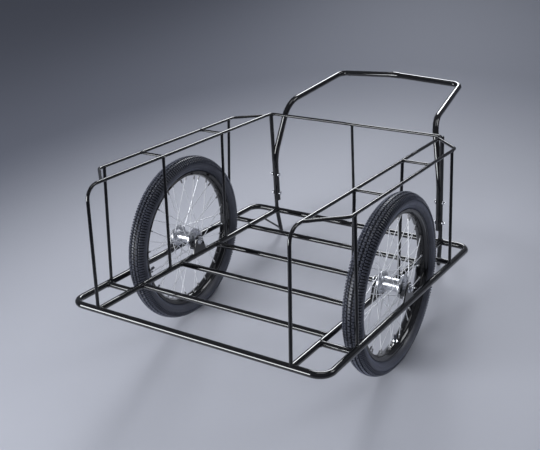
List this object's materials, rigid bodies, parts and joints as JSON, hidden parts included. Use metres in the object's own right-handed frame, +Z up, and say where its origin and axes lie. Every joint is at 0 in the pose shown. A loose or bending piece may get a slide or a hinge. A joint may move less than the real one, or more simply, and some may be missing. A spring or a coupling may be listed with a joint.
{
  "type": "hand cart",
  "caption": "Two-wheeled hand cart with a welded rod basket on a tube base, spoked pneumatic wheels, rear feet and a bent push handle.",
  "frame": {"origin": "on the floor, under the middle of the whole cart, 197 mm behind the wheel axis", "axes": "+X to the cart's right when pushed from behind, +Y towards the handle, +Z up; the cart stands parked on its wheels and rear feet"},
  "size_m": [0.819, 1.3131, 0.6665],
  "materials": {
    "frame_paint": "gloss black paint",
    "plated_steel": "bright zinc plate",
    "rim_paint": "gloss black enamel",
    "hub_metal": "polished steel shell",
    "tyre": "black rubber with a faint blue sheen"
  },
  "bodies": {
    "chassis": {"base_loop": "frame_paint", "inner_rail_right": "frame_paint", "inner_rail_left": "frame_paint", "floor_slats": "frame_paint", "well_bars_right": "frame_paint", "well_bars_left": "frame_paint", "basket_hoop": "frame_paint", "outer_side_rail_right": "frame_paint", "outer_side_rail_left": "frame_paint", "inner_posts_right": "frame_paint", "inner_posts_left": "frame_paint", "outer_posts_right": "frame_paint", "outer_posts_left": "frame_paint", "rear_corner_post_right": "frame_paint", "rear_corner_post_left": "frame_paint", "rear_centre_post": "frame_paint", "side_links_right": "frame_paint", "side_links_left": "frame_paint", "rear_foot_right": "frame_paint", "rear_foot_left": "frame_paint", "foot_brace_right": "frame_paint", "foot_brace_left": "frame_paint", "axle_brackets_right": "frame_paint", "axle_brackets_left": "frame_paint", "handle": "frame_paint", "handle_bolts_right": "plated_steel", "handle_bolts_left": "plated_steel", "axle_right": "plated_steel", "axle_left": "plated_steel", "axle_nuts_right": "plated_steel", "axle_nuts_left": "plated_steel"},
    "wheel_right": {"tyre_right": "tyre", "rim_right": "rim_paint", "spokes_right": "plated_steel", "hub_right": "hub_metal"},
    "wheel_left": {"tyre_left": "tyre", "rim_left": "rim_paint", "spokes_left": "plated_steel", "hub_left": "hub_metal"}
  },
  "joints": [
    {"name": "wheel_right_spin", "type": "hinge", "parent": "chassis", "child": "wheel_right", "pos_m": [0.3495, -0.19685, 0.255], "axis": [1, 0, 0], "continuous": true},
    {"name": "wheel_left_spin", "type": "hinge", "parent": "chassis", "child": "wheel_left", "pos_m": [-0.3495, -0.19685, 0.255], "axis": [1, 0, 0], "continuous": true}
  ]
}
